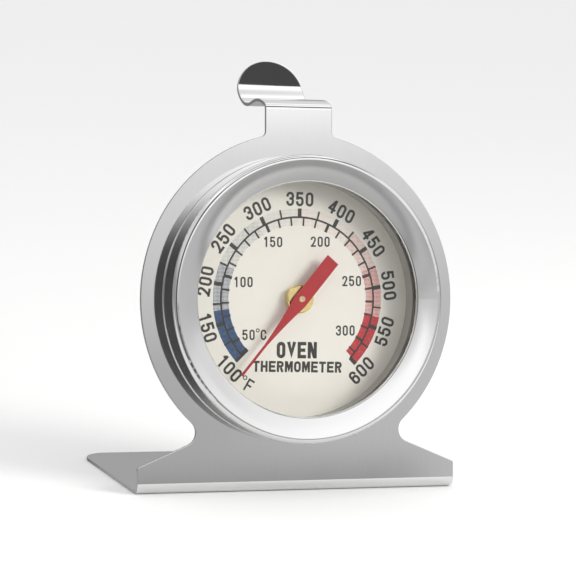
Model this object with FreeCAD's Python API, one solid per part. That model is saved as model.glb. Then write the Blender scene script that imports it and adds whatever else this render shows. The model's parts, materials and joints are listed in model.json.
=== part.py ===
import FreeCAD, Part
import math
import os

# Oven thermometer: a leaning sheet-metal stand that holds a round bimetal dial head.
# Millimetres and degrees. +Z is up, the dial faces -Y, and the origin is the middle of the
# whole object's footprint on the table.
#
# The stand is drawn in "stand" coordinates, whose origin is the corner where the plate's front
# face would meet the table. The head is drawn in "dial" coordinates: X right, Y rearward along
# the spindle, Z up the plate, with Y = 0 on the plate's front face.

# ---- Driving dimensions ----
LEAN = 8.85  # the plate leans back by this angle
SHEET = 0.6  # stand sheet
EDGE_ROUND = 0.12  # tumbled outer edges of the sheet
BASE_WIDTH = 62.0
BASE_DEPTH = 34.2  # from the stand's corner to the foot's rear edge
BASE_BEND = 1.8  # outside radius of the bend between foot and plate
BASE_END_HEIGHT = 5.0  # plate height at the two ends of the base
BASE_CORNER = 0.6  # small radius on the base's upper end corners
FOOT_CORNER = 4.5  # radius of the foot's rear corners
DIAL_HEIGHT = 35.2  # up the plate, from the corner to the dial axis
RING_RADIUS = 30.4
SHOULDER_SLOPE = 22.3  # the base's shoulders rise towards the ring at this angle
WAIST_FILLET = 2.4
NECK_WIDTH = 13.0
NECK_FILLET = 1.0
NECK_TOP = 70.6  # up the plate, to the bend at the top of the neck

# Tongue: bends and straight runs of its upper surface, from the neck to the curled-up tip
NECK_BEND = 1.3
TONGUE_RISE = 17.0  # slope of the tongue where it leaves the neck
ARCH_RADIUS = 10.0
TONGUE_FALL = -21.0  # slope behind the arch
FALL_LENGTH = 1.0
CURL_RADIUS = 6.0
TIP_SLOPE = 62.0
TIP_LENGTH = 4.6

# Case and bezel
THIN = 0.4  # sheet of the case, the bezel and the spacer
BEZEL_RADIUS = 26.2
BEZEL_WALL = 4.9  # height of the bezel's upright wall above the plate
CREST_RADIUS = 0.9
CREST_SLOPE = 5.0  # the face leaves the crest at this slope, in and back
LIP_SLOPE = 16.0  # and reaches the lip at this slope
FACE_RADIUS = 19.3  # gentle bulge of the face between them
LIP_RADIUS = 0.4  # turned-back edge of the bezel's opening
LIP_LENGTH = 0.2  # straight run of the turned-back edge, towards the glass
FOOT_TURN = 1.35  # width of the bezel's foot, turned in under the case flange
CASE_RADIUS = 23.6  # outside of the case wall, where it passes through the plate
CASE_FLANGE = 25.5
CASE_GAP = 0.1  # between the case wall and the hole in the plate
LEDGE_DEPTH = 1.7  # rear face of the case's inner ledge
BARREL_RADIUS = 19.0  # outside of the case's rear barrel
CASE_DEPTH = 8.9  # rear face of the case
VENT_COUNT = 8
VENT_RADIUS = 1.5
VENT_CIRCLE = 12.5
LOCK_FLANGE = 26.4
LOCK_COLLAR = 1.0
LOCK_SHEET = 0.5

# Glass and dial
GLASS_RADIUS = 24.4
GLASS_FRONT = -4.45
GLASS_THICK = 2.0
GASKET_INNER = 22.2
GASKET_OUTER = 23.8
GASKET_THICK = 0.38
SPACER_INNER = 21.6
DIAL_RADIUS = 23.0
DIAL_FRONT = 0.5
DIAL_THICK = 0.3
MOVEMENT_RADIUS = 22.5
MOVEMENT_THICK = 0.5
WINDOW_COUNT = 6
WINDOW_RADIUS = 4.0
WINDOW_CIRCLE = 13.5

# Spindle and what is on it
SPINDLE_RADIUS = 0.6
SPINDLE_FRONT = -1.95
CENTRE_RADIUS = 0.2  # centre mark in the spindle's front end
CENTRE_DEPTH = 0.12
PIVOT_RADIUS = 0.45
PIVOT_LENGTH = 0.9
RUNNING = 0.05  # radial clearance of a bearing, and end clearance of the spindle
PRESSED = 0.01  # gap drawn between parts that are pressed together
BUSHING_HEAD = 2.55
BUSHING_HEAD_THICK = 1.6
BUSHING_SHANK = 1.6
BUSHING_STAKED = 1.9
STAKE_THICK = 0.25
WASHER_RADIUS = 3.0
WASHER_THICK = 0.3
POINTER_FRONT = -1.75
POINTER_THICK = 0.3
POINTER_ANGLE = 229.8  # counter-clockwise from +X as seen from the front
POINTER_TIP = 18.1
POINTER_TAIL = 9.4
POINTER_WIDTH = 2.65
POINTER_TAPER = 0.8  # the taper starts this far from the axis
POINTER_HOLLOW = 0.13  # the taper's sides curve in by this much
NEEDLE_START = 11.0  # the slim straight end starts this far from the axis
NEEDLE_WIDTH = 0.42
HUB_RADIUS = 1.25
COLLAR_RADIUS = 1.5
COLLAR_THICK = 0.6
COLLET_RADIUS = 2.0
COLLET_FRONT = 3.2
COLLET_LENGTH = 3.4
BEARING_FLANGE = 2.0
BEARING_SHANK = 1.3
BEARING_FLANGE_THICK = 0.5
BEARING_WASHER_RADIUS = 2.6

# Bimetal coil
STRIP_THICK = 0.3
STRIP_WIDTH = 3.0
STRIP_SLOT = 0.4
COIL_FRONT = 3.4
COIL_INNER = 2.4  # radius of the strip's middle line at its inner end
COIL_PITCH = 1.1
COIL_HALF_TURNS = 11
COIL_TAB = 0.8  # length of the inner end that sits in the collet
COIL_TAIL = 2.0  # straight outer end
POST_RADIUS = 0.7
POST_REACH = 1.25  # the post's axis lies this far along the straight outer end

ORIGIN = FreeCAD.Vector(0, 0, 0)
X_AXIS = FreeCAD.Vector(1, 0, 0)
Y_AXIS = FreeCAD.Vector(0, 1, 0)
Z_AXIS = FreeCAD.Vector(0, 0, 1)
FULL_TURN = 360.0


# ---- Drawing helpers ----
def heading_vector(angle):
    """Unit vector in the XY plane at an angle from +X."""
    return FreeCAD.Vector(math.cos(math.radians(angle)), math.sin(math.radians(angle)), 0)


def turned_about(point, centre, angle):
    """A point of the XY plane after a turn about a centre."""
    rotation = FreeCAD.Rotation(Z_AXIS, angle)
    return centre + rotation.multVec(point - centre)


def bent_sheet(start, heading, moves, thickness):
    """Face, in the XY plane, of a bent sheet's section.

    The moves follow one surface of the sheet, whose metal lies on the right of the way walked:
    ("line", length) or ("bend", radius, turn), with a left turn positive.
    """
    position = FreeCAD.Vector(start[0], start[1], 0)
    near_edges = []
    far_edges = []
    first = (position, position + heading_vector(heading - 90) * thickness)
    for move in moves:
        right = heading_vector(heading - 90)
        far = position + right * thickness
        if move[0] == "line":
            step = heading_vector(heading) * move[1]
            near_edges.append(Part.makeLine(position, position + step))
            far_edges.append(Part.makeLine(far, far + step))
            position = position + step
        else:
            radius, turn = move[1:]
            centre = position - right * math.copysign(radius, turn)
            for edges, point in ((near_edges, position), (far_edges, far)):
                middle = turned_about(point, centre, turn / 2)
                last = turned_about(point, centre, turn)
                edges.append(Part.Arc(point, middle, last).toShape())
            position = turned_about(position, centre, turn)
            heading = heading + turn
    end = (position, position + heading_vector(heading - 90) * thickness)
    caps = [Part.makeLine(*first), Part.makeLine(*end)]
    outline = Part.Wire(Part.__sortEdges__(near_edges + far_edges + caps))
    return Part.Face(outline)


def turned(corners):
    """Solid of revolution about the dial axis, from (radius, depth) corners."""
    points = [FreeCAD.Vector(radius, depth, 0) for radius, depth in corners]
    face = Part.Face(Part.makePolygon(points + points[:1]))
    return face.revolve(ORIGIN, Y_AXIS, FULL_TURN)


def ring(inner, outer, front, thick):
    """Flat ring about the dial axis."""
    rear = front + thick
    return turned([(inner, front), (outer, front), (outer, rear), (inner, rear)])


def disc(radius, front, thick):
    """Cylinder along the dial axis."""
    return Part.makeCylinder(radius, thick, FreeCAD.Vector(0, front, 0), Y_AXIS)


def plate_block(width, front, thick, low, high):
    """Block centred on X, between two depths and two heights."""
    return Part.makeBox(width, thick, high - low, FreeCAD.Vector(-width / 2, front, low))


def around(shape, count, radius):
    """Copies of a shape spread evenly round the dial axis."""
    copies = []
    for index in range(count):
        copy = shape.copy()
        copy.translate(FreeCAD.Vector(radius, 0, 0))
        copy.rotate(ORIGIN, Y_AXIS, FULL_TURN * index / count)
        copies.append(copy)
    return copies


def upright_edges(shape, axis, wanted):
    """Straight edges along an axis whose middle passes a test."""
    found = []
    for edge in shape.Edges:
        if len(edge.Vertexes) < 2:
            continue
        span = edge.Vertexes[1].Point - edge.Vertexes[0].Point
        along = abs(span.dot(axis))
        if abs(along - span.Length) < 1e-6 and along > 1e-6 and wanted(edge.CenterOfMass):
            found.append(edge)
    return found


def sharp_edges(shape):
    """Edges where two faces meet at more than 60 degrees."""
    found = []
    for edge in shape.Edges:
        middle = edge.valueAt((edge.FirstParameter + edge.LastParameter) / 2)
        normals = []
        for face in shape.ancestorsOfType(edge, Part.Face):
            normals.append(face.normalAt(*face.Surface.parameter(middle)))
        if len(normals) == 2 and normals[0].getAngle(normals[1]) > math.pi / 3:
            found.append(edge)
    return found


# ---- Stand ----
def stand_sheet():
    """The bent strip, as wide as the base, that the stand's outlines are cut from."""
    plate_heading = 90 - LEAN
    bend_setback = BASE_BEND * math.tan(math.radians((180 - plate_heading) / 2))
    neck_setback = NECK_BEND * math.tan(math.radians((plate_heading - TONGUE_RISE) / 2))
    moves = [
        ("line", BASE_DEPTH - bend_setback),
        ("bend", BASE_BEND, plate_heading - 180),
        ("line", NECK_TOP - bend_setback - neck_setback),
        ("bend", NECK_BEND, TONGUE_RISE - plate_heading),
        ("bend", ARCH_RADIUS, TONGUE_FALL - TONGUE_RISE),
        ("line", FALL_LENGTH),
        ("bend", CURL_RADIUS, TIP_SLOPE - TONGUE_FALL),
        ("line", TIP_LENGTH),
    ]
    section = bent_sheet((BASE_DEPTH, 0), 180, moves, SHEET)
    section.rotate(ORIGIN, FreeCAD.Vector(1, 1, 1), 120)
    section.translate(FreeCAD.Vector(-BASE_WIDTH / 2, 0, 0))
    return section.extrude(X_AXIS * BASE_WIDTH)


def plate_outline():
    """Block with the plate's front outline: ring, flared base and neck, in stand coordinates."""
    front = -2 * SHEET
    thick = 5 * SHEET
    half = BASE_WIDTH / 2
    low = -SHEET
    ring_block = Part.makeCylinder(
        RING_RADIUS, thick, FreeCAD.Vector(0, front, DIAL_HEIGHT), Y_AXIS
    )
    shoulders_meet = BASE_END_HEIGHT + half * math.tan(math.radians(SHOULDER_SLOPE))
    corners = [
        (-half, low),
        (half, low),
        (half, BASE_END_HEIGHT),
        (0, shoulders_meet),
        (-half, BASE_END_HEIGHT),
    ]
    points = [FreeCAD.Vector(x, front, z) for x, z in corners]
    base = Part.Face(Part.makePolygon(points + points[:1])).extrude(Y_AXIS * thick)
    neck = plate_block(NECK_WIDTH, front, thick, DIAL_HEIGHT, NECK_TOP + 5 * SHEET)
    outline = ring_block.fuse([base, neck]).removeSplitter()
    neck_root = DIAL_HEIGHT + math.sqrt(RING_RADIUS**2 - (NECK_WIDTH / 2) ** 2)
    waist_edges = upright_edges(
        outline, Y_AXIS, lambda c: BASE_END_HEIGHT + 1 < c.z < DIAL_HEIGHT
    )
    outline = outline.makeFillet(WAIST_FILLET, waist_edges)
    neck_edges = upright_edges(outline, Y_AXIS, lambda c: abs(c.z - neck_root) < 0.5)
    outline = outline.makeFillet(NECK_FILLET, neck_edges)
    end_edges = upright_edges(outline, Y_AXIS, lambda c: abs(c.z - BASE_END_HEIGHT) < 0.1)
    outline = outline.makeFillet(BASE_CORNER, end_edges)
    outline.rotate(ORIGIN, X_AXIS, -LEAN)
    return outline


def foot_outline():
    """Block with the foot's outline as seen from above, in stand coordinates."""
    low = -SHEET
    front = BASE_BEND / 2
    block = plate_block(BASE_WIDTH, front, BASE_DEPTH - front, low, 2 * SHEET)
    rear = upright_edges(block, Z_AXIS, lambda c: c.y > BASE_DEPTH - 1)
    return block.makeFillet(FOOT_CORNER, rear)


def tongue_outline():
    """Strip of the tongue's width that ends in a half round at the tip, in stand coordinates."""
    tip = max((vertex.Point for vertex in stand_sheet().Vertexes), key=lambda point: point.z)
    slope = math.radians(TIP_SLOPE)
    along = FreeCAD.Vector(0, math.cos(slope), math.sin(slope))
    normal = FreeCAD.Vector(0, -math.sin(slope), math.cos(slope))
    radius = NECK_WIDTH / 2
    reach = 3 * NECK_WIDTH
    centre = FreeCAD.Vector(0, tip.y, tip.z) - along * radius
    round_end = Part.makeCylinder(radius, reach, centre - normal * (reach / 2), normal)
    strip = Part.makeBox(NECK_WIDTH, reach, reach, FreeCAD.Vector(-radius, -reach, -reach / 2))
    strip.rotate(ORIGIN, X_AXIS, TIP_SLOPE)
    strip.translate(centre)
    lowest = NECK_TOP - CURL_RADIUS / 2
    room = plate_block(2 * NECK_WIDTH, 0, BASE_DEPTH, lowest, NECK_TOP + 2 * NECK_WIDTH)
    return strip.fuse(round_end).common(room)


def stand_bracket():
    """One pressed sheet: foot, leaning plate, neck and tongue, with the case's hole."""
    outlines = plate_outline().fuse([foot_outline(), tongue_outline()])
    hole = Part.makeCylinder(
        CASE_RADIUS + CASE_GAP, 6 * SHEET, FreeCAD.Vector(0, -2 * SHEET, DIAL_HEIGHT), Y_AXIS
    )
    hole.rotate(ORIGIN, X_AXIS, -LEAN)
    bracket = stand_sheet().common(outlines)
    return bracket.makeFillet(EDGE_ROUND, sharp_edges(bracket)).cut(hole)


# ---- Head: case, bezel, glass and dial ----
def case_shell():
    """Drawn cup: flange, wall through the plate, ledge, barrel and a floor with vent holes."""
    bend = 0.6
    inner = CASE_RADIUS - THIN
    ledge = LEDGE_DEPTH - THIN
    barrel = BARREL_RADIUS - THIN
    flange_front = -2 * THIN
    moves = [
        ("line", CASE_FLANGE - inner - bend),
        ("bend", bend, -90),
        ("line", ledge - flange_front - 2 * bend),
        ("bend", bend, 90),
        ("line", inner - barrel - 2 * bend),
        ("bend", bend, -90),
        ("line", CASE_DEPTH - THIN - ledge - 2 * bend),
        ("bend", bend, 90),
        ("line", barrel - bend),
    ]
    section = bent_sheet((CASE_FLANGE, flange_front), 180, moves, THIN)
    shell = section.revolve(ORIGIN, Y_AXIS, FULL_TURN)
    vents = around(disc(VENT_RADIUS, CASE_DEPTH - 2 * THIN, 4 * THIN), VENT_COUNT, VENT_CIRCLE)
    bearing_hole = disc(BEARING_SHANK + PRESSED, CASE_DEPTH - 2 * THIN, 4 * THIN)
    return shell.cut(vents + [bearing_hole])


def case_lock_ring():
    """Ring pressed on the case wall, against the back of the plate."""
    inner = CASE_RADIUS + PRESSED
    rear = SHEET + LOCK_SHEET
    return turned(
        [
            (inner, SHEET),
            (LOCK_FLANGE, SHEET),
            (LOCK_FLANGE, rear),
            (inner + LOCK_SHEET, rear),
            (inner + LOCK_SHEET, SHEET + LOCK_COLLAR),
            (inner, SHEET + LOCK_COLLAR),
        ]
    )


def bezel_ring():
    """Rolled ring: foot turned in under the case flange, wall, crest, sloping face and lip."""
    foot_bend = 0.6
    moves = [
        ("line", FOOT_TURN - foot_bend),
        ("bend", foot_bend, -90),
        ("line", BEZEL_WALL - foot_bend),
        ("bend", CREST_RADIUS, -90 - CREST_SLOPE),
        ("bend", FACE_RADIUS, CREST_SLOPE - LIP_SLOPE),
        ("bend", LIP_RADIUS, LIP_SLOPE - 90),
        ("line", LIP_LENGTH),
    ]
    section = bent_sheet((BEZEL_RADIUS - FOOT_TURN, 0), 0, moves, THIN - PRESSED)
    return section.revolve(ORIGIN, Y_AXIS, FULL_TURN)


def spacer_ring():
    """Inner wall between the dial and the glass."""
    front = GLASS_FRONT + GLASS_THICK
    outer = SPACER_INNER + THIN
    return turned(
        [
            (SPACER_INNER, front),
            (GLASS_RADIUS, front),
            (GLASS_RADIUS, front + THIN),
            (outer, front + THIN),
            (outer, DIAL_FRONT),
            (SPACER_INNER, DIAL_FRONT),
        ]
    )


def movement_plate():
    """Disc on the case's ledge that carries the front bushing, with windows for the hot air."""
    front = DIAL_FRONT + DIAL_THICK
    plate = ring(BUSHING_SHANK + PRESSED, MOVEMENT_RADIUS, front, MOVEMENT_THICK)
    window = disc(WINDOW_RADIUS, front - MOVEMENT_THICK, 3 * MOVEMENT_THICK)
    post_hole = disc(POST_RADIUS / 2 + PRESSED, front - MOVEMENT_THICK, 3 * MOVEMENT_THICK)
    post_hole.translate(post_centre())
    return plate.cut(around(window, WINDOW_COUNT, WINDOW_CIRCLE) + [post_hole])


# ---- Bearings ----
def movement_rear():
    """Depth of the movement plate's rear face."""
    return DIAL_FRONT + DIAL_THICK + MOVEMENT_THICK


def front_bushing():
    """Brass bushing: round head in front of the dial, shank through it, staked at the rear."""
    bore = SPINDLE_RADIUS + RUNNING
    front = DIAL_FRONT - BUSHING_HEAD_THICK
    washer_rear = movement_rear() + WASHER_THICK
    chamfer = 0.15
    return turned(
        [
            (bore, front),
            (BUSHING_HEAD - chamfer, front),
            (BUSHING_HEAD, front + chamfer),
            (BUSHING_HEAD, DIAL_FRONT),
            (BUSHING_SHANK, DIAL_FRONT),
            (BUSHING_SHANK, washer_rear),
            (BUSHING_STAKED, washer_rear),
            (BUSHING_STAKED, washer_rear + STAKE_THICK),
            (bore, washer_rear + STAKE_THICK),
        ]
    )


def rear_bearing():
    """Brass cup in the case's floor, with a blind hole for the spindle's rear pivot."""
    inner_face = CASE_DEPTH - THIN
    flange_front = inner_face - BEARING_FLANGE_THICK
    shank_rear = CASE_DEPTH + WASHER_THICK + STAKE_THICK
    bottom = spindle_rear() + RUNNING
    return turned(
        [
            (PIVOT_RADIUS + RUNNING, flange_front),
            (BEARING_FLANGE, flange_front),
            (BEARING_FLANGE, inner_face),
            (BEARING_SHANK, inner_face),
            (BEARING_SHANK, shank_rear),
            (0, shank_rear),
            (0, bottom),
            (PIVOT_RADIUS + RUNNING, bottom),
        ]
    )


# ---- Spindle group, which turns ----
def spindle_rear():
    """Depth of the spindle's rear end."""
    return CASE_DEPTH - THIN - BEARING_FLANGE_THICK - RUNNING + PIVOT_LENGTH


def spindle():
    """Spindle with a chamfered, centre-marked front end and a thinner rear pivot."""
    rear = spindle_rear()
    chamfer = 0.12
    return turned(
        [
            (0, SPINDLE_FRONT + CENTRE_DEPTH),
            (CENTRE_RADIUS, SPINDLE_FRONT),
            (SPINDLE_RADIUS - chamfer, SPINDLE_FRONT),
            (SPINDLE_RADIUS, SPINDLE_FRONT + chamfer),
            (SPINDLE_RADIUS, rear - PIVOT_LENGTH),
            (PIVOT_RADIUS, rear - PIVOT_LENGTH),
            (PIVOT_RADIUS, rear),
            (0, rear),
        ]
    )


def pointer():
    """Flat pointer: square tail, a hollow taper past the axis and a slim straight needle."""
    half = POINTER_WIDTH / 2
    tip = NEEDLE_WIDTH / 2
    middle = ((POINTER_TAPER + NEEDLE_START) / 2, (half + tip) / 2 - POINTER_HOLLOW)
    side = [(-POINTER_TAIL, half), (POINTER_TAPER, half), middle, (NEEDLE_START, tip)]
    side.append((POINTER_TIP, tip))
    edges = []
    for sign in (1, -1):
        tail, taper, hollow, needle, end = [
            FreeCAD.Vector(x, POINTER_FRONT, sign * z) for x, z in side
        ]
        edges.append(Part.makeLine(tail, taper))
        edges.append(Part.Arc(taper, hollow, needle).toShape())
        edges.append(Part.makeLine(needle, end))
    for x, z in (side[0], side[-1]):
        edges.append(
            Part.makeLine(
                FreeCAD.Vector(x, POINTER_FRONT, z), FreeCAD.Vector(x, POINTER_FRONT, -z)
            )
        )
    outline = Part.Wire(Part.__sortEdges__(edges))
    blade = Part.Face(outline).extrude(Y_AXIS * POINTER_THICK)
    blade.rotate(ORIGIN, Y_AXIS, -POINTER_ANGLE)
    hole = disc(SPINDLE_RADIUS + PRESSED, POINTER_FRONT - POINTER_THICK, 3 * POINTER_THICK)
    return blade.cut(hole)


def pointer_hub():
    """Brass hub between the bushing's head and the pointer."""
    front = POINTER_FRONT + POINTER_THICK
    rear = DIAL_FRONT - BUSHING_HEAD_THICK - RUNNING
    return ring(SPINDLE_RADIUS + PRESSED, HUB_RADIUS, front, rear - front)


def thrust_collar():
    """Collar that keeps the spindle from moving forward."""
    front = movement_rear() + WASHER_THICK + STAKE_THICK + RUNNING
    return ring(SPINDLE_RADIUS + PRESSED, COLLAR_RADIUS, front, COLLAR_THICK)


def coil_collet():
    """Slotted collet that takes the coil's inner end."""
    collet = ring(SPINDLE_RADIUS + PRESSED, COLLET_RADIUS, COLLET_FRONT, COLLET_LENGTH)
    slot_bottom = COIL_INNER - STRIP_THICK / 2 - COIL_TAB - RUNNING
    slot = Part.makeBox(COLLET_RADIUS, 2 * COLLET_LENGTH, STRIP_SLOT)
    slot.translate(
        FreeCAD.Vector(
            -slot_bottom - COLLET_RADIUS, COLLET_FRONT - COLLET_LENGTH / 2, -STRIP_SLOT / 2
        )
    )
    return collet.cut(slot)


# ---- Bimetal coil and its post ----
def coil_end():
    """X position of the coil's outer end, where the last half turn stops."""
    last = COIL_HALF_TURNS - 1
    return turn_centre(last) + turn_side(last) * coil_radius(last)


def coil_radius(index):
    """Radius of a half turn's middle line."""
    return COIL_INNER + index * COIL_PITCH / 2


def turn_side(index):
    """Which side of the axis a half turn ends on."""
    return 1 if index % 2 == 0 else -1


def turn_centre(index):
    """X position of a half turn's centre. The centres alternate, so the turns join smoothly."""
    return -COIL_PITCH / 2 if index % 2 else 0.0


def post_centre():
    """Offset of the post from the dial axis."""
    side = turn_side(COIL_HALF_TURNS - 1)
    return FreeCAD.Vector(coil_end(), 0, -side * POST_REACH)


def half_turn(index):
    """One half turn of the strip, as a flat half ring."""
    radius = coil_radius(index)
    outer = radius + STRIP_THICK / 2
    inner = radius - STRIP_THICK / 2
    band = ring(inner, outer, COIL_FRONT, STRIP_WIDTH)
    keep = Part.makeBox(4 * outer, 2 * STRIP_WIDTH, 2 * outer)
    low = 0 if index % 2 == 0 else -2 * outer
    keep.translate(FreeCAD.Vector(-2 * outer, COIL_FRONT - STRIP_WIDTH / 2, low))
    half = band.common(keep)
    half.translate(FreeCAD.Vector(turn_centre(index), 0, 0))
    return half


def bimetal_coil():
    """Spiral strip: an inner tab in the collet, half turns that grow, and a straight tail."""
    turns = [half_turn(index) for index in range(COIL_HALF_TURNS)]
    inner_edge = -COIL_INNER + STRIP_THICK / 2
    tab = Part.makeBox(COIL_TAB + STRIP_THICK, STRIP_WIDTH, STRIP_THICK)
    tab.translate(FreeCAD.Vector(inner_edge - STRIP_THICK, COIL_FRONT, -STRIP_THICK / 2))
    tail = Part.makeBox(STRIP_THICK, STRIP_WIDTH, COIL_TAIL)
    side = turn_side(COIL_HALF_TURNS - 1)
    tail_low = -COIL_TAIL if side > 0 else 0
    tail.translate(FreeCAD.Vector(coil_end() - STRIP_THICK / 2, COIL_FRONT, tail_low))
    return turns[0].fuse(turns[1:] + [tab, tail]).removeSplitter()


def anchor_post():
    """Post riveted in the movement plate, slotted for the coil's outer end."""
    front = movement_rear()
    rear = COIL_FRONT + STRIP_WIDTH + 2 * RUNNING
    post = disc(POST_RADIUS, front, rear - front)
    rivet = disc(POST_RADIUS / 2, front - MOVEMENT_THICK, 2 * MOVEMENT_THICK)
    post = post.fuse(rivet).removeSplitter()
    slot = Part.makeBox(STRIP_SLOT, rear, 4 * POST_RADIUS)
    slot.translate(FreeCAD.Vector(-STRIP_SLOT / 2, COIL_FRONT - RUNNING, -2 * POST_RADIUS))
    post = post.cut(slot)
    post.translate(post_centre())
    return post


# ---- Assembly ----
def head_pieces():
    """Every piece of the head, in dial coordinates."""
    dial_rear = DIAL_FRONT + DIAL_THICK
    return {
        "case_shell": case_shell(),
        "case_lock_ring": case_lock_ring(),
        "bezel_ring": bezel_ring(),
        "glass_lens": disc(GLASS_RADIUS, GLASS_FRONT, GLASS_THICK),
        "lens_gasket": ring(
            GASKET_INNER, GASKET_OUTER, GLASS_FRONT - GASKET_THICK, GASKET_THICK
        ),
        "spacer_ring": spacer_ring(),
        "dial_plate": ring(
            BUSHING_SHANK + PRESSED, DIAL_RADIUS, DIAL_FRONT, dial_rear - DIAL_FRONT
        ),
        "movement_plate": movement_plate(),
        "front_bushing": front_bushing(),
        "bushing_washer": ring(
            BUSHING_SHANK + PRESSED, WASHER_RADIUS, movement_rear(), WASHER_THICK
        ),
        "rear_bearing": rear_bearing(),
        "bearing_washer": ring(
            BEARING_SHANK + PRESSED, BEARING_WASHER_RADIUS, CASE_DEPTH, WASHER_THICK
        ),
        "anchor_post": anchor_post(),
        "bimetal_coil": bimetal_coil(),
        "spindle": spindle(),
        "pointer": pointer(),
        "pointer_hub": pointer_hub(),
        "thrust_collar": thrust_collar(),
        "coil_collet": coil_collet(),
    }


def placed_in_stand(shape):
    """A head piece moved up the plate and leaned back with it."""
    shape.translate(FreeCAD.Vector(0, 0, DIAL_HEIGHT))
    shape.rotate(ORIGIN, X_AXIS, -LEAN)
    return shape


def main():
    """Build every piece, centre the object on its footprint and write one file per piece."""
    pieces = {name: placed_in_stand(shape) for name, shape in head_pieces().items()}
    pieces["stand_bracket"] = stand_bracket()
    box = Part.makeCompound(list(pieces.values())).optimalBoundingBox(False)
    to_centre = FreeCAD.Vector(0, -(box.YMin + box.YMax) / 2, 0)
    os.makedirs("parts", exist_ok=True)
    for name, shape in pieces.items():
        shape.translate(to_centre)
        shape.exportStep(f"parts/{name}.step")
        print(name, "valid" if shape.isValid() else "NOT VALID", len(shape.Solids), "solid")
    print("depth of the stand's corner behind the origin", round(to_centre.y, 4))


main()
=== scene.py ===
import json
import math

import bmesh
import bpy
from mathutils import Matrix, Vector


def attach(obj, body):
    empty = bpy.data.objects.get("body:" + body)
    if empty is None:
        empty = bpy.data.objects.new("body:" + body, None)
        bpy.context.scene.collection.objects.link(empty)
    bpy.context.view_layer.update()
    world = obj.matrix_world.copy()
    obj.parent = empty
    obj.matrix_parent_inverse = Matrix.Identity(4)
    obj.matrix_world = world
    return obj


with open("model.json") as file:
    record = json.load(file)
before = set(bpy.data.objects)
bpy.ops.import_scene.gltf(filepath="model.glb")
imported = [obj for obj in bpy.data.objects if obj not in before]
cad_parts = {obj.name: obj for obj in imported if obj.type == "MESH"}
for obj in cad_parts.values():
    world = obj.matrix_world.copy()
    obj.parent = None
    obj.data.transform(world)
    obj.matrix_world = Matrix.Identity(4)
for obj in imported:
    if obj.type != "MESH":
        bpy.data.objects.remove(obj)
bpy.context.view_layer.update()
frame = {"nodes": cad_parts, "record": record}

# Looks of the oven thermometer: polished sheet steel, the printed dial, the studio and the camera.
# Dial coordinates, used for everything printed: millimetres from the dial axis, x to the right
# and y up the plate, with depths counted rearward along the spindle.

MM = 0.001

# ---- Camera ----
CAMERA_PLACE = (-0.19767, -0.50134, 0.11506)
CAMERA_YAW = 21.673  # degrees to the right of +Y
CAMERA_PITCH = -8.410
CAMERA_ROLL = 3.348
SENSOR_WIDTH = 36.0
LENS = 183.56
CLIP = (0.01, 20.0)  # nearest and furthest that the camera sees, in metres

# ---- Studio ----
# Directions are azimuths from -Y towards +X and elevations above the table, in degrees.
# A soft edge is given by where it begins and where it ends. A window has four such numbers,
# two for each side. A ramp has four too: the range, and the values at its two ends.
DEGREE = math.degrees(1)

PAPER = 0.96  # the floor as the camera sees it
PAPER_PAINTED_DIM = 0.43  # and what the steel sees of it, further from the object: painted shade in the floor's colour
PAPER_PAINTED_SHADE = 0.1  # share of that left where the floor is painted as unlit: painted shade
PAPER_HALF = 6.0  # half the sheet's width, in metres
PAPER_GRAIN = 900.0
PAINTED_NEAR_LIGHT = (-0.03, 0.0, 0.055, 0.1)  # painted light: brighter paper close in front, in metres forward
PAINTED_LIT_EDGE = (0.16, 0.26, 16.0, 2.0)  # by metres from the object: azimuth from which the paper is painted as lit

BOX_PEAK = 1.5  # light of the big soft box at its brightest
BOX_TOP = 40.0
BOX_TOP_SOFT = 1.0
BOX_LEFT = -19.0
BOX_LEFT_FULL = (9.0, 13.0, -7.0, 8.0)  # by elevation: azimuth where the left edge is at full light
BOX_RIGHT = (70.0, 84.0)
BOX_GLOW = (  # elevation and light: it fades towards the table
    (0.0, 0.68), (5.0, 0.66), (7.8, 0.68), (10.8, 0.95),
    (11.5, 1.29), (13.5, 1.5), (22.0, 1.44), (30.0, 1.36),
)
FADE_ACROSS = (22.0, 38.0, 0.0, 0.33)  # the box is dimmer on its right
FADE_ABOVE = (7.0, 13.0)
FADE_HIGH = (19.0, 27.0, 1.0, 0.45)
CARD_ACROSS = (8.0, 15.0, 23.4, 24.6)  # a grey card in front of the box, low down
CARD_UP = (2.6, 3.4, 4.1, 5.0)
CARD_SHADE = 0.5
CORNER_ACROSS = (19.8, 22.6)  # and a paler one above it, on the left
CORNER_UP = (4.3, 5.2, 6.4, 7.8)
CORNER_SHADE = 0.2

DARK_ROOM = 0.08
CEILING_FROM = 54.0
CEILING_SOFT = 0.8
CEILING_LIGHT = 1.5
OVERHEAD = (60.0, 75.0)  # the ceiling falls to half its light between these
LEFT_WALL = (-42.0, -30.0)
RIGHT_WALL = (66.0, 80.0)
WALL_LIGHT = (10.0, 28.0, 0.42, 0.9)

KEY_POWER = 2.2
KEY_COLOUR = (1.0, 0.985, 0.965)
KEY_SIZE = 0.26
KEY_DISTANCE = 0.6
KEY_AZIMUTH = math.radians(46)
KEY_ELEVATION = math.radians(24)

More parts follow.
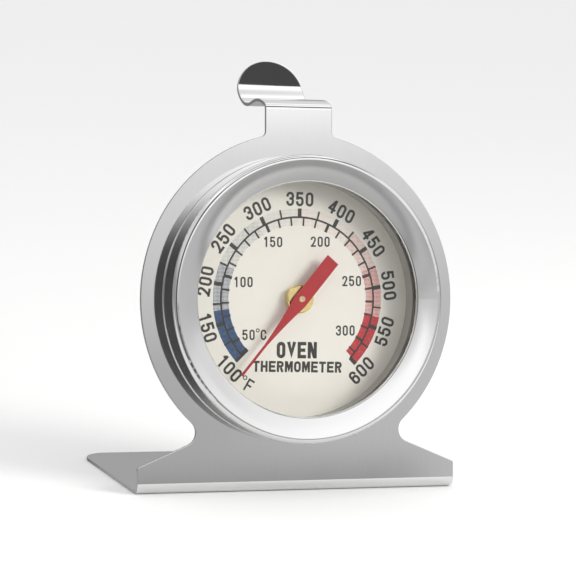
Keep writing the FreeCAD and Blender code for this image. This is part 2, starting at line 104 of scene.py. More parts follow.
# ---- Dial scale ----
SCALE_START = 223.8  # angle of the lowest mark, counter-clockwise from +x
SCALE_SWEEP = 270.0
FAHRENHEIT = (100, 600)
FAHRENHEIT_STEP = 25
FAHRENHEIT_NUMBERED = 50
CELSIUS = (40, 310)
CELSIUS_STEP = 10
CELSIUS_NUMBERED = 50
LINE_RADIUS = 14.95
LINE_WIDTH = 0.34
BAND_INNER = 13.5
BAND_OUTER = 16.5
OUTER_TICK_END = 16.55
INNER_TICK_END = 13.4
TICK_WIDTH = 0.35
MAIN_TICK_WIDTH = 0.74
INNER_MAIN_TICK_WIDTH = 0.55
NUMBER_RADIUS = 18.25
NUMBER_STYLE = (1.5, 0.4, 0.45)  # letter width, gap and stroke
NUMBER_HEIGHT = 2.6
SMALL_NUMBER_STYLE = (1.02, 0.34, 0.3)
SMALL_NUMBER_HEIGHT = 1.9
LETTER_WIDTHS = {"M": 1.25, "1": 0.62, "V": 1.1, "N": 1.1}  # against the others
MITRE_LIMIT = 0.35  # cosine of half the sharpest turn at which a stroke keeps its full mitre
PRINT_THICK = 0.012
PRINT_SUNK = 0.004
BLACK_LIFT = 0.006  # black ink lies on the coloured zones
ARC_STEP = 1.5  # degrees between points of a printed arc
FIRST_TICK_SHIFT = 0.6  # degrees by which the lowest mark lies inside its zone
SCREEN_PITCH = 0.34  # of the dots that print the pale zones

# Coloured zones: where each one ends (as an angle), its ink and how densely it is printed
ZONES = (
    (187.5, "ink_blue", 1.0),
    (156.5, "ink_blue", 0.52),
    (120.0, "ink_blue", 0.2),
    (90.0, "ink_blue", 0.1),
    (48.5, "ink_red", 0.09),
    (21.5, "ink_red", 0.29),
    (-12.0, "ink_red", 0.58),
    (-45.0, "ink_red", 1.0),
)

# Small numbers, by the place of their middle
SMALL_NUMBERS = {
    "50": (-9.6, -6.5),
    "100": (-10.55, 3.1),
    "150": (-4.8, 10.4),
    "200": (4.4, 10.5),
    "250": (10.65, 3.3),
    "300": (9.4, -5.8),
}
TURNED_NUMBERS = (100, 150, 550, 600)  # these have their tops towards the middle

# Words and units: text, middle, height, tilt, and letter width, gap and stroke
WORDS = (
    ("C", (-6.7, -6.5), SMALL_NUMBER_HEIGHT, 0, (1.08, 0, 0.3)),
    ("F", (-9.5, -15.7), 2.4, -31.5, (1.3, 0, 0.35)),
    ("OVEN", (-0.17, -9.33), 3.0, -0.8, (1.69, 0.3, 0.62)),
    ("THERMOMETER", (-0.05, -12.37), 2.0, -1.2, (1.33, 0.24, 0.43)),
)
# Degree signs: middle, radius and stroke
DEGREE_SIGNS = (((-7.82, -5.7), 0.28, 0.17), ((-10.25, -14.25), 0.34, 0.18))
DEGREE_SIGN_ARC = (0, 345, 15)  # start, end and steps, and a closing step makes it a ring

# ---- Where the dial is, from the joint of the pointer ----
joint = frame["record"]["behaviour"]["joints"][0]
axis_point = Vector(joint["pos_m"])
rearward = Vector(joint["axis"]).normalized()
across = Vector((1, 0, 0))
upward = across.cross(rearward)
lean = math.atan2(-rearward.z, rearward.y)


def on_dial(x, y, depth):
    """Place in the row frame of a point in dial coordinates."""
    return axis_point + MM * (x * across + y * upward + depth * rearward)


def front_depth(node):
    """Depth, in millimetres, of a CAD node's front."""
    return min((v.co - axis_point).dot(rearward) / MM for v in frame["nodes"][node].data.vertices)


# ---- Materials ----
NOISE_RANGE = (0.3, 0.7)  # where nearly all of a noise texture's values lie
STEEL_HAIRLINES = 0.00006  # depth of the marks, in millimetres
STEEL_ROLLING = (1.0, 1.0, 0.06)  # stretch of the dial space that draws the marks out up the plate
STEEL_TURNING = 1.5  # how fast the marks of turned steel change with the angle round the axis
EDGE_FACING = (0.15, 0.35)  # how far sideways a surface faces where it becomes a sheared edge
EDGE_PAINTED_SHADE = 0.55  # a sheared edge of the sheet against its polished face: darker by painted shade
EDGE_ROUGHNESS = 0.26
CREAM = (0.87, 0.845, 0.785)
INK_BLACK = (0.035, 0.032, 0.028)
SOLID_INK = (0.2, 0.5, 0.88, 1.0)  # a noise's values, and how well the solid ink covers there
DOT_SOFT = 0.25  # half the soft edge of a screen's dot, in the height of its wave
INKS = {"ink_blue": (0.026, 0.072, 0.175), "ink_red": (0.5, 0.026, 0.034)}
HEAT_TINT = (0.55, 0.43, 0.27)
STRIP_ROLLING = (1.0, 6.0, 1.0)  # stretch of the dial space for the bimetal strip's marks


class Graph:
    """A node tree with short calls for adding and linking nodes."""

    def __init__(self, tree):
        self.tree = tree
        self.tree.nodes.clear()

    def add(self, kind, inputs=None, **settings):
        node = self.tree.nodes.new(kind)
        for name, value in settings.items():
            setattr(node, name, value)
        for name, value in (inputs or {}).items():
            if isinstance(value, bpy.types.NodeSocket):
                self.tree.links.new(value, node.inputs[name])
            else:
                node.inputs[name].default_value = value
        return node

    def math(self, operation, *values):
        inputs = dict(enumerate(values))
        return self.add("ShaderNodeMath", inputs, operation=operation).outputs[0]

    def ramp(self, value, low, high, out_low=0.0, out_high=1.0, smooth=False):
        """Value mapped from one range to another, clamped."""
        inputs = {
            "Value": value,
            "From Min": low,
            "From Max": high,
            "To Min": out_low,
            "To Max": out_high,
        }
        kind = "SMOOTHSTEP" if smooth else "LINEAR"
        return self.add("ShaderNodeMapRange", inputs, interpolation_type=kind).outputs["Result"]

    def mix(self, factor, first, second):
        """Colour between two others. The numbers are the node's colour sockets."""
        inputs = {0: factor, 6: first, 7: second}
        return self.add("ShaderNodeMix", inputs, data_type="RGBA").outputs[2]

    def window(self, value, edges):
        """One inside a range and nothing outside it, with soft edges."""
        low, low_full, high_full, high = edges
        rise = self.ramp(value, low, low_full, smooth=True)
        fall = self.ramp(value, high_full, high, 1.0, 0.0, smooth=True)
        return self.math("MULTIPLY", rise, fall)

    def noise(self, vector, scale, detail=2.0, roughness=0.5):
        inputs = {"Vector": vector, "Scale": scale, "Detail": detail, "Roughness": roughness}
        return self.add("ShaderNodeTexNoise", inputs).outputs["Fac"]

    def dial_space(self, stretch=(1.0, 1.0, 1.0)):
        """Object coordinates turned into dial millimetres: x across, y rearward, z up."""
        turn = Matrix.Rotation(lean, 3, "X")
        place = turn @ (axis_point / MM)
        source = self.add("ShaderNodeTexCoord").outputs["Object"]
        inputs = {
            "Vector": source,
            "Location": tuple(-place),
            "Rotation": (lean, 0, 0),
            "Scale": (1 / MM,) * 3,
        }
        placed = self.add("ShaderNodeMapping", inputs).outputs[0]
        if stretch == (1.0, 1.0, 1.0):
            return placed
        return self.add("ShaderNodeMapping", {"Vector": placed, "Scale": stretch}).outputs[0]

    def unrolled(self, turning):
        """Dial space round the axis: distance from it, depth, and its angle times a factor."""
        x, y, z = self.add("ShaderNodeSeparateXYZ", {"Vector": self.dial_space()}).outputs
        squares = [self.math("POWER", side, 2.0) for side in (x, z)]
        radius = self.math("SQRT", self.math("ADD", *squares))
        angle = self.math("MULTIPLY", self.math("ARCTAN2", z, x), turning)
        return self.add("ShaderNodeCombineXYZ", {0: radius, 1: y, 2: angle}).outputs[0]

    def bump(self, height, depth_mm):
        inputs = {"Height": height, "Distance": depth_mm * MM, "Strength": 1.0}
        return self.add("ShaderNodeBump", inputs).outputs[0]


def shaded(name):
    """A new material with its graph."""
    material = bpy.data.materials.new(name)
    material.use_nodes = True
    return material, Graph(material.node_tree)


def close(graph, shader):
    graph.add("ShaderNodeOutputMaterial", {"Surface": shader})


def rgba(colour):
    return (*colour, 1.0)


def tinted(colour, factor):
    return rgba([min(1.0, c * factor) for c in colour])


def sheet_steel(name, colour, roughness, grain, turned=False, cut_edges=False):
    """Polished steel with fine marks along the plate, or round the dial axis where it was turned.

    With cut_edges, surfaces that face sideways are sheared edges of the sheet: dull, as a real shear
    is, and darker by painted shade.
    """
    material, graph = shaded(name)
    if turned:
        marks = graph.unrolled(STEEL_TURNING)
    else:
        marks = graph.dial_space(STEEL_ROLLING)
    streaks = graph.noise(marks, scale=3.0, detail=4.0)
    hairlines = graph.noise(marks, scale=22.0, detail=2.0)
    clouds = graph.noise(graph.dial_space(), scale=0.09, detail=3.0)
    tone = graph.math("MULTIPLY_ADD", streaks, 0.5, graph.math("MULTIPLY", clouds, 0.5))
    colours = graph.mix(
        graph.ramp(tone, *NOISE_RANGE), tinted(colour, 1 - grain), tinted(colour, 1 + grain)
    )
    rough = graph.ramp(
        graph.math("ADD", hairlines, clouds), 0.7, 1.3, roughness * 0.8, roughness * 1.2
    )
    if cut_edges:
        facing = graph.add("ShaderNodeTexCoord").outputs["Normal"]
        sideways = graph.add("ShaderNodeSeparateXYZ", {"Vector": facing}).outputs["X"]
        sheared_edge_and_painted_shade = graph.ramp(graph.math("ABSOLUTE", sideways), *EDGE_FACING)
        # Painted shade: sideways-facing edges darker in colour; the added roughness is the shear's own
        # dullness.
        colours = graph.mix(sheared_edge_and_painted_shade, colours, tinted(colour, EDGE_PAINTED_SHADE))
        rough = graph.math("ADD", rough, graph.math("MULTIPLY", sheared_edge_and_painted_shade, EDGE_ROUGHNESS))
    shader = graph.add(
        "ShaderNodeBsdfPrincipled",
        {
            "Base Color": colours,
            "Metallic": 1.0,
            "Roughness": rough,
            "Normal": graph.bump(hairlines, depth_mm=STEEL_HAIRLINES),
        },
    )
    close(graph, shader.outputs[0])
    return material


def enamel(name, colour, roughness, speckle=0.03):
    """Fired or sprayed enamel: even colour with a faint mottle and orange peel."""
    material, graph = shaded(name)
    space = graph.dial_space()
    mottle = graph.noise(space, scale=0.35, detail=4.0)
    peel = graph.noise(space, scale=6.0, detail=3.0)
    colours = graph.mix(
        graph.ramp(mottle, *NOISE_RANGE), tinted(colour, 1 - speckle), tinted(colour, 1 + speckle)
    )
    shader = graph.add(
        "ShaderNodeBsdfPrincipled",
        {
            "Base Color": colours,
            "Roughness": graph.ramp(peel, *NOISE_RANGE, roughness * 0.9, roughness * 1.1),
            "Normal": graph.bump(peel, depth_mm=0.002),
        },
    )
    close(graph, shader.outputs[0])
    return material


def dot_screen(graph, density):
    """One on the dots of a screen, nothing between them. They cover that share of the ground."""
    turn = {"Vector": graph.dial_space(), "Rotation": (0, math.radians(45), 0)}
    turned_space = graph.add("ShaderNodeMapping", turn).outputs[0]
    parts = graph.add("ShaderNodeSeparateXYZ", {"Vector": turned_space})
    waves = [
        graph.math("COSINE", graph.math("MULTIPLY", parts.outputs[i], math.tau / SCREEN_PITCH))
        for i in (0, 2)
    ]
    dots = graph.math("MULTIPLY", waves[0], waves[1])
    turns = [i / 8 for i in range(50)]  # radians, over about one wave
    heights = sorted(math.cos(a) * math.cos(b) for a in turns for b in turns)
    level = heights[int((1 - density) * len(heights))]
    return graph.ramp(dots, level - DOT_SOFT, level + DOT_SOFT)


def printed_ink(name, ink, ground, density):
    """Ink over the dial's ground colour, solid or through a screen of small dots."""
    material, graph = shaded(name)
    if density < 1.0:
        inked = dot_screen(graph, density)
    else:
        inked = graph.ramp(graph.noise(graph.dial_space(), scale=2.0, detail=4.0), *SOLID_INK)
    wear = graph.noise(graph.dial_space(), scale=3.0, detail=3.0)
    shader = graph.add(
        "ShaderNodeBsdfPrincipled",
        {
            "Base Color": graph.mix(inked, rgba(ground), rgba(ink)),
            "Roughness": graph.ramp(wear, *NOISE_RANGE, 0.42, 0.5),
        },
    )
    close(graph, shader.outputs[0])
    return material


def turned_brass(name, colour, roughness):
    """Brass turned on a lathe: fine rings round the spindle and a little tarnish."""
    material, graph = shaded(name)
    rings = graph.noise(graph.unrolled(0.0), scale=14.0, detail=2.0)
    tarnish = graph.noise(graph.dial_space(), scale=1.1, detail=4.0)
    colours = graph.mix(
        graph.ramp(tarnish, 0.35, 0.7), rgba(colour), tinted(colour, 0.85)
    )
    shader = graph.add(
        "ShaderNodeBsdfPrincipled",
        {
            "Base Color": colours,
            "Metallic": 1.0,
            "Roughness": graph.ramp(tarnish, *NOISE_RANGE, roughness, roughness * 1.5),
            "Normal": graph.bump(rings, depth_mm=0.006),
        },
    )
    close(graph, shader.outputs[0])
    return material


def clear_glass(name):
    """Flat clear glass: see-through, with a reflection from its front and edges."""
    material, graph = shaded(name)
    smears = graph.noise(graph.dial_space(), scale=0.25, detail=4.0)
    gloss = graph.add(
        "ShaderNodeBsdfGlossy",
        {"Color": (1, 1, 1, 1), "Roughness": graph.ramp(smears, 0.4, 0.7, 0.0, 0.04)},
    )
    clear = graph.add("ShaderNodeBsdfTransparent", {"Color": (0.99, 0.99, 0.985, 1)})
    facing = graph.add("ShaderNodeFresnel", {"IOR": 1.52}).outputs[0]
    behind = graph.add("ShaderNodeNewGeometry").outputs["Backfacing"]
    share = graph.math("MULTIPLY", facing, graph.math("SUBTRACT", 1.0, behind))
    mixed = graph.add("ShaderNodeMixShader", {0: share, 1: clear.outputs[0], 2: gloss.outputs[0]})
    close(graph, mixed.outputs[0])
    return material


def fibre(name, colour):
    """Pressed fibre gasket."""
    material, graph = shaded(name)
    space = graph.dial_space()
    strands = graph.noise(space, scale=5.0, detail=6.0, roughness=0.7)
    colours = graph.mix(graph.ramp(strands, *NOISE_RANGE), tinted(colour, 0.8), tinted(colour, 1.05))
    shader = graph.add(
        "ShaderNodeBsdfPrincipled",
        {"Base Color": colours, "Roughness": 0.85, "Normal": graph.bump(strands, depth_mm=0.03)},
    )
    close(graph, shader.outputs[0])
    return material


def bimetal(name, colour):
    """Rolled bimetal strip with straw-coloured heat tint."""
    material, graph = shaded(name)
    space = graph.dial_space()
    tint = graph.noise(space, scale=0.7, detail=3.0)
    rolling = graph.noise(graph.dial_space(STRIP_ROLLING), scale=4.0, detail=3.0)
    colours = graph.mix(graph.ramp(tint, 0.35, 0.65), rgba(colour), rgba(HEAT_TINT))
    shader = graph.add(
        "ShaderNodeBsdfPrincipled",
        {
            "Base Color": colours,
            "Metallic": 1.0,
            "Roughness": graph.ramp(rolling, *NOISE_RANGE, 0.25, 0.4),
            "Normal": graph.bump(rolling, depth_mm=0.003),
        },
    )
    close(graph, shader.outputs[0])
    return material


finishes = {
    "stand_steel": sheet_steel("stand_steel", (0.72, 0.72, 0.72), 0.06, 0.02, cut_edges=True),
    "bezel_steel": sheet_steel("bezel_steel", (0.68, 0.68, 0.68), 0.13, 0.015, turned=True),
    "case_steel": sheet_steel("case_steel", (0.64, 0.64, 0.63), 0.24, 0.03, turned=True),
    "movement_steel": sheet_steel("movement_steel", (0.6, 0.6, 0.6), 0.3, 0.04),
    "lens_glass": clear_glass("lens_glass"),
    "gasket_fibre": fibre("gasket_fibre", (0.75, 0.73, 0.68)),
    # The spacer's dark grey is painted shade, standing in for the shadow that the bezel casts on its
    # inner wall.
    "spacer_finish": enamel("spacer_finish", (0.4, 0.39, 0.36), 0.5),
    "dial_enamel": enamel("dial_enamel", CREAM, 0.45, 0.012),
    "ink_black": enamel("ink_black", INK_BLACK, 0.4, 0.1),
    "bushing_brass": turned_brass("bushing_brass", (1.0, 0.79, 0.35), 0.16),
    "spindle_brass": turned_brass("spindle_brass", (0.92, 0.69, 0.4), 0.26),
    "bimetal_strip": bimetal("bimetal_strip", (0.62, 0.58, 0.5)),
    "pointer_red": enamel("pointer_red", (0.42, 0.015, 0.022), 0.5, 0.04),
}

for part in frame["record"]["subparts"]:
    node_object = frame["nodes"][part["node"]]
    node_object.data.materials.clear()
    node_object.data.materials.append(finishes[part["material_slot"]])


# ---- Printing: flat strips of ink on the dial ----
def arc(cx, cy, radius, start, stop, steps=9):
    """Points of an arc, angles in degrees."""
    points = []
    for i in range(steps + 1):
        angle = math.radians(start + (stop - start) * i / steps)
        points.append((cx + radius * math.cos(angle), cy + radius * math.sin(angle)))
    return points


def ribbon(points, width, closed=False):
    """The two edges of a stroke of constant width along a line of points, mitred at corners."""
    count = len(points)
    left, right = [], []
    for i, (x, y) in enumerate(points):
        before = points[i - 1] if i or closed else points[i]
        after = points[(i + 1) % count] if i < count - 1 or closed else points[i]
        arriving = Vector((x - before[0], y - before[1]))
        leaving = Vector((after[0] - x, after[1] - y))
        if arriving.length < 1e-9:
            arriving = leaving
        if leaving.length < 1e-9:
            leaving = arriving
        arriving.normalize()
        leaving.normalize()
        middle = (arriving + leaving).normalized()
        side = Vector((-middle.y, middle.x))
        reach = width / 2 / max(MITRE_LIMIT, middle.dot(arriving))
        left.append((x + side.x * reach, y + side.y * reach))
        right.append((x - side.x * reach, y - side.y * reach))
    return left, right, closed


def printed(name, strips, material, lift=0.0):
    """One thin closed layer of ink made of strips, lying on the dial."""
    dial_front = front_depth("dial_plate")
    mesh = bpy.data.meshes.new(name)
    shape = bmesh.new()
    for left, right, closed in strips:
        rows = []
        for edges in zip(left, right):
            rows.append(
                [
                    shape.verts.new(on_dial(*point, depth))
                    for depth in (dial_front - PRINT_THICK - lift, dial_front + PRINT_SUNK)
                    for point in edges
                ]
            )
        pairs = list(zip(rows, rows[1:])) + ([(rows[-1], rows[0])] if closed else [])
        for (a, b, c, d), (e, f, g, h) in pairs:
            for corners in ((a, b, f, e), (c, g, h, d), (a, e, g, c), (b, d, h, f)):
                shape.faces.new(corners)
        if not closed:
            a, b, c, d = rows[0]
            shape.faces.new((a, c, d, b))
            a, b, c, d = rows[-1]
            shape.faces.new((a, b, d, c))
    bmesh.ops.recalc_face_normals(shape, faces=shape.faces)
    shape.to_mesh(mesh)
    shape.free()
    piece = bpy.data.objects.new(name, mesh)
    bpy.context.scene.collection.objects.link(piece)
    mesh.materials.append(material)
    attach(piece, "stand")
    return piece


def glyph(letter, w, h, t):
    """Strokes of one letter: centre lines in a box of w by h, drawn with stroke width t.

    Each one is its points and whether it is closed.
    """
    r = w / 2
    e = t / 2
    if letter in "0O":
        return [(arc(r, h - r, r, 0, 180) + arc(r, r, r, 180, 360), True)]
    if letter == "1":
        return [([(r, -e), (r, h + e)], False), ([(r - e * 2.4, h * 0.77), (r - e * 0.6, h)], False)]
    if letter == "2":
        top = [(0, h - r * 1.35)] + arc(r, h - r, r, 180, -20)
        return [(top + [(w * 0.72, h * 0.42), (e * 0.6, 0)], False), ([(-e, 0), (w + e, 0)], False)]
    if letter == "3":
        b = w * 0.38
        m = h * 0.53
        upper = [(0, h - r * 1.3)] + arc(r, h - r, r, 180, 0) + arc(w - b, m + b, b, 0, -90)
        lower = arc(w - b, m - b, b, 90, 0) + arc(r, r, r, 0, -180) + [(0, r * 1.3)]
        return [(upper + [(r * 0.7, m)], False), (lower, False)]
    if letter == "4":
        s = w * 0.74
        return [
            ([(s, -e), (s, h + e)], False),
            ([(s - e * 0.5, h), (0, h * 0.25)], False),
            ([(-e, h * 0.25), (w + e, h * 0.25)], False),
        ]
    if letter == "5":
        bowl = arc(r, h * 0.62 - r, r, 140, 0) + arc(r, r, r, 0, -180) + [(0, r * 1.3)]
        return [([(w + e * 0.4, h), (w * 0.06, h), (0, h * 0.46)], False), (bowl, False)]
    if letter == "6":
        stem = [(w, h - r * 1.3)] + arc(r, h - r, r, 0, 180) + arc(r, r, r, 180, 360)
        return [(stem + arc(r, h * 0.6 - r, r, 0, 150), False)]
    if letter == "C":
        stroke = [(w, h - r * 1.5)] + arc(r, h - r, r, 0, 180) + arc(r, r, r, 180, 360)
        return [(stroke + [(w, r * 1.5)], False)]
    left_stem = ([(0, -e), (0, h + e)], False)
    right_stem = ([(w, -e), (w, h + e)], False)
    if letter == "E":
        bars = [([(e, y), (w + e * x, y)], False) for y, x in ((0, 1), (h / 2, 0.4), (h, 1))]
        return [left_stem] + bars
    if letter == "F":
        bars = [([(e, y), (w + e * x, y)], False) for y, x in ((h * 0.48, 0.2), (h, 1))]
        return [left_stem] + bars
    if letter == "H":
        return [left_stem, right_stem, ([(e, h / 2), (w - e, h / 2)], False)]
    if letter == "N":
        return [left_stem, right_stem, ([(e * 0.4, h + e * 0.6), (w - e * 0.4, -e * 0.6)], False)]
    if letter == "M":
        return [
            left_stem,
            right_stem,
            ([(e * 0.5, h + e * 0.6), (r, t * 0.85), (w - e * 0.5, h + e * 0.6)], False),
        ]
    if letter == "R":
        b = h * 0.24
        bowl = [(e, h)] + arc(w - b, h - b, b, 90, -90) + [(e, h - 2 * b)]
        return [left_stem, (bowl, False), ([(w * 0.62, h - 2 * b - e), (w, -e)], False)]
    if letter == "T":
        return [([(-e, h), (w + e, h)], False), ([(r, -e), (r, h - e)], False)]
    if letter == "V":
        return [([(0, h + e), (r, t * 0.93), (w, h + e)], False)]
    raise ValueError(f"no strokes for {letter}")


def text_strips(text, middle, height, tilt, style):
    """Strips of a line of letters centred on a place and turned by an angle.

    The style is letter width, gap and stroke. All sizes are measured over the ink.
    """
    width, gap, stroke = style
    w = width - stroke
    h = height - stroke
    widths = [w * LETTER_WIDTHS.get(letter, 1.0) for letter in text]
    total = sum(widths) + stroke * len(text) + gap * (len(text) - 1)
    cursor = -total / 2 + stroke / 2
    cos, sin = math.cos(math.radians(tilt)), math.sin(math.radians(tilt))
    strips = []
    for letter, letter_width in zip(text, widths):
        for points, closed in glyph(letter, letter_width, h, stroke):
            moved = []
            for x, y in points:
                x, y = x + cursor, y - h / 2
                moved.append((middle[0] + x * cos - y * sin, middle[1] + x * sin + y * cos))
            strips.append(ribbon(moved, stroke, closed))
        cursor += letter_width + stroke + gap
    return strips


def fahrenheit_angle(value):
    share = (value - FAHRENHEIT[0]) / (FAHRENHEIT[1] - FAHRENHEIT[0])
    return SCALE_START - SCALE_SWEEP * share


def celsius_angle(value):
    return fahrenheit_angle(value * 1.8 + 32)


def at(radius, angle):
    """Place on the printed scale."""
    return radius * math.cos(math.radians(angle)), radius * math.sin(math.radians(angle))


def tick(inner, outer, angle, width):
    return ribbon([at(inner, angle), at(outer, angle)], width)


def band(start, stop, inner, outer):
    """Strip of a ring between two angles."""
    steps = max(1, round(abs(stop - start) / ARC_STEP))
    return arc(0, 0, outer, start, stop, steps), arc(0, 0, inner, start, stop, steps), False


black = [band(SCALE_START, SCALE_START - SCALE_SWEEP, LINE_RADIUS - LINE_WIDTH / 2,
              LINE_RADIUS + LINE_WIDTH / 2)]
for value in range(FAHRENHEIT[0], FAHRENHEIT[1] + 1, FAHRENHEIT_STEP):
    angle = fahrenheit_angle(value)
    if value == FAHRENHEIT[0]:
        angle -= FIRST_TICK_SHIFT
        black.append(tick(INNER_TICK_END, OUTER_TICK_END, angle, INNER_MAIN_TICK_WIDTH))
    else:
        width = TICK_WIDTH if value % FAHRENHEIT_NUMBERED else MAIN_TICK_WIDTH
        black.append(tick(LINE_RADIUS, OUTER_TICK_END, angle, width))
for value in range(CELSIUS[0], CELSIUS[1] + 1, CELSIUS_STEP):
    width = TICK_WIDTH if value % CELSIUS_NUMBERED else INNER_MAIN_TICK_WIDTH
    black.append(tick(INNER_TICK_END, LINE_RADIUS, celsius_angle(value), width))

for value in range(FAHRENHEIT[0], FAHRENHEIT[1] + 1, FAHRENHEIT_NUMBERED):
    angle = fahrenheit_angle(value)
    tilt = angle - 90 + (180 if value in TURNED_NUMBERS else 0)
    black += text_strips(str(value), at(NUMBER_RADIUS, angle), NUMBER_HEIGHT, tilt, NUMBER_STYLE)
for text, middle in SMALL_NUMBERS.items():
    black += text_strips(text, middle, SMALL_NUMBER_HEIGHT, 0, SMALL_NUMBER_STYLE)
for word in WORDS:
    black += text_strips(*word)
for middle, radius, stroke in DEGREE_SIGNS:
    black.append(ribbon(arc(*middle, radius, *DEGREE_SIGN_ARC), stroke, True))
printed("dial_print_black", black, finishes["ink_black"], lift=BLACK_LIFT)

zone_start = SCALE_START
for number, (zone_end, ink, density) in enumerate(ZONES):
    layer = printed_ink(f"{ink}_{number}", INKS[ink], CREAM, density)
    printed(
        f"dial_zone_{number}", [band(zone_start, zone_end, BAND_INNER, BAND_OUTER)], layer
    )
    zone_start = zone_end


# ---- Floor, light and camera ----
def make_floor():
    """White paper. What the polished steel sees of it is painted light and shade in the paper's
    colour: dimmer in front, as in a dark studio, except a bright strip close to the object.
    """
    mesh = bpy.data.meshes.new("floor")
    corners = [(PAPER_HALF * x, PAPER_HALF * y, 0) for x, y in ((-1, -1), (1, -1), (1, 1), (-1, 1))]
    mesh.from_pydata(corners, [], [(0, 1, 2, 3)])
    floor = bpy.data.objects.new("floor", mesh)
    bpy.context.scene.collection.objects.link(floor)
    material, graph = shaded("floor_paper_painted_light")
    place = graph.add("ShaderNodeTexCoord").outputs["Object"]
    x, y, _ = graph.add("ShaderNodeSeparateXYZ", {"Vector": place}).outputs
    forward = graph.math("MULTIPLY", y, -1.0)
    azimuth = graph.math("MULTIPLY", graph.math("ARCTAN2", x, forward), DEGREE)
    reach = graph.math("SQRT", graph.math("ADD", graph.math("POWER", x, 2.0),
                                          graph.math("POWER", y, 2.0)))
    # Painted light and shade in the floor's colour, for every ray but the camera's: a bright strip
    # close in front, painted shade elsewhere except where the box and the left wall are meant to light
    # it.
    painted_near_light = graph.window(forward, PAINTED_NEAR_LIGHT)
    painted_lit_from = graph.ramp(reach, *PAINTED_LIT_EDGE)
    from_right = graph.ramp(azimuth, BOX_LEFT, painted_lit_from, PAPER_PAINTED_SHADE, 1.0)
    from_left = graph.ramp(azimuth, *LEFT_WALL, 1.0, 0.0)
    painted_far_shade = graph.math("MULTIPLY", graph.math("MAXIMUM", from_right, from_left), PAPER_PAINTED_DIM)
    tone = graph.math("MAXIMUM", painted_near_light, painted_far_shade)
    seen = graph.add("ShaderNodeLightPath").outputs["Is Camera Ray"]
    shown = graph.math("MULTIPLY", graph.math("MAXIMUM", tone, seen), PAPER)
    paper = graph.noise(place, scale=PAPER_GRAIN, detail=3.0)
    colour = graph.add("ShaderNodeCombineColor", {0: shown, 1: shown, 2: shown}).outputs[0]
    shader = graph.add(
        "ShaderNodeBsdfPrincipled",
        {
            "Base Color": colour,
            "Roughness": graph.ramp(paper, *NOISE_RANGE, 0.85, 0.95),
            "Specular IOR Level": 0.1,
        },
    )
    close(graph, shader.outputs[0])
    mesh.materials.append(material)


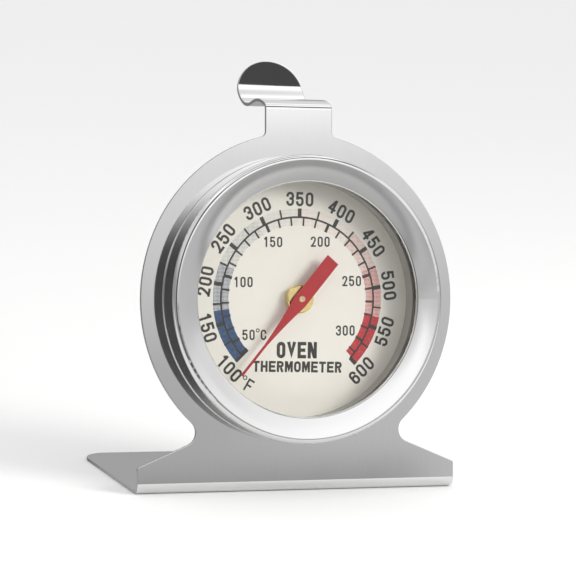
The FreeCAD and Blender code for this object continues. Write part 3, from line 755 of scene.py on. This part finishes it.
def make_studio():
    """Soft light from a large box in front to the right, a white ceiling and pale sides.

    The rest of the front is unlit, so the polished steel has something dark to show.
    """
    world = bpy.data.worlds.new("studio")
    bpy.context.scene.world = world
    world.use_nodes = True
    graph = Graph(world.node_tree)
    way = graph.add("ShaderNodeTexCoord").outputs["Generated"]
    x, y, z = graph.add("ShaderNodeSeparateXYZ", {"Vector": way}).outputs
    forward = graph.math("MULTIPLY", y, -1.0)
    azimuth = graph.math("MULTIPLY", graph.math("ARCTAN2", x, forward), DEGREE)
    elevation = graph.math("MULTIPLY", graph.math("ARCSINE", z), DEGREE)

    glow = graph.tree.nodes.new("ShaderNodeValToRGB")
    stops = glow.color_ramp.elements
    while len(stops) > 1:
        stops.remove(stops[-1])
    for index, (height, level) in enumerate(BOX_GLOW):
        stop = stops[0] if index == 0 else stops.new(height / BOX_TOP)
        stop.position = height / BOX_TOP
        stop.color = (level / BOX_PEAK,) * 3 + (1.0,)
    graph.tree.links.new(graph.ramp(elevation, 0.0, BOX_TOP), glow.inputs[0])
    left_full = graph.ramp(elevation, *BOX_LEFT_FULL)
    rise = graph.ramp(azimuth, BOX_LEFT, left_full, smooth=True)
    fall = graph.ramp(azimuth, *BOX_RIGHT, 1.0, 0.0, smooth=True)
    under_top = graph.ramp(elevation, BOX_TOP - BOX_TOP_SOFT, BOX_TOP + BOX_TOP_SOFT, 1.0, 0.0,
                           smooth=True)
    box_shape = graph.math("MULTIPLY", graph.math("MULTIPLY", rise, fall), under_top)
    fade = graph.math("MULTIPLY", graph.ramp(azimuth, *FADE_ACROSS),
                      graph.ramp(elevation, *FADE_ABOVE))
    fade = graph.math("MULTIPLY", fade, graph.ramp(elevation, *FADE_HIGH))
    card = graph.math("MULTIPLY", graph.window(azimuth, CARD_ACROSS),
                      graph.window(elevation, CARD_UP))
    corner = graph.math("MULTIPLY", graph.ramp(azimuth, *CORNER_ACROSS, 1.0, 0.0),
                        graph.window(elevation, CORNER_UP))
    cards = graph.math("MULTIPLY", graph.math("MULTIPLY_ADD", card, -CARD_SHADE, 1.0),
                       graph.math("MULTIPLY_ADD", corner, -CORNER_SHADE, 1.0))
    dimmed = graph.math("MULTIPLY", graph.math("SUBTRACT", 1.0, fade), cards)
    box = graph.math("MULTIPLY", graph.math("MULTIPLY", glow.outputs[0], BOX_PEAK),
                     graph.math("MULTIPLY", box_shape, dimmed))
    ceiling = graph.ramp(elevation, CEILING_FROM - CEILING_SOFT, CEILING_FROM + CEILING_SOFT,
                         smooth=True)
    left = graph.ramp(azimuth, *LEFT_WALL, 1.0, 0.0, smooth=True)
    right = graph.ramp(azimuth, *RIGHT_WALL, smooth=True)
    wall = graph.ramp(elevation, *WALL_LIGHT, smooth=True)
    sides = graph.math("MULTIPLY", graph.math("ADD", left, right), wall)
    below = graph.math("MULTIPLY", graph.math("ADD", box, sides),
                       graph.math("SUBTRACT", 1.0, ceiling))
    overhead = graph.ramp(elevation, *OVERHEAD, CEILING_LIGHT, CEILING_LIGHT / 2, smooth=True)
    lights = graph.math("MULTIPLY_ADD", ceiling, overhead, below)
    light = graph.math("MAXIMUM", lights, DARK_ROOM)
    seen = graph.add("ShaderNodeLightPath").outputs["Is Camera Ray"]
    strength = graph.math(
        "ADD", seen, graph.math("MULTIPLY", light, graph.math("SUBTRACT", 1.0, seen))
    )
    background = graph.add("ShaderNodeBackground", {"Color": (1, 1, 1, 1), "Strength": strength})
    graph.add("ShaderNodeOutputWorld", {"Surface": background.outputs[0]})

    key = bpy.data.lights.new("key", "AREA")
    key.shape = "DISK"
    key.size = KEY_SIZE
    key.energy = KEY_POWER
    key.color = KEY_COLOUR
    lamp = bpy.data.objects.new("key", key)
    bpy.context.scene.collection.objects.link(lamp)
    way = Vector((math.sin(KEY_AZIMUTH) * math.cos(KEY_ELEVATION),
                  -math.cos(KEY_AZIMUTH) * math.cos(KEY_ELEVATION), math.sin(KEY_ELEVATION)))
    lamp.location = axis_point + KEY_DISTANCE * way
    lamp.rotation_euler = (-way).to_track_quat("-Z", "Y").to_euler()
    lamp.visible_glossy = False
    lamp.visible_camera = False


def make_camera():
    data = bpy.data.cameras.new("camera")
    data.sensor_width = SENSOR_WIDTH
    data.lens = LENS
    data.clip_start, data.clip_end = CLIP
    camera = bpy.data.objects.new("camera", data)
    bpy.context.scene.collection.objects.link(camera)
    yaw, pitch, roll = (math.radians(a) for a in (CAMERA_YAW, CAMERA_PITCH, CAMERA_ROLL))
    ahead = Vector((math.sin(yaw) * math.cos(pitch), math.cos(yaw) * math.cos(pitch), math.sin(pitch)))
    level = Vector((math.cos(yaw), -math.sin(yaw), 0))
    up = level.cross(ahead)
    right = level * math.cos(roll) + up * math.sin(roll)
    top = up * math.cos(roll) - level * math.sin(roll)
    camera.matrix_world = Matrix.Translation(CAMERA_PLACE) @ Matrix(
        (right, top, -ahead)
    ).transposed().to_4x4()
    bpy.context.scene.camera = camera


make_floor()
make_studio()
make_camera()
bpy.context.scene.view_settings.view_transform = "Standard"
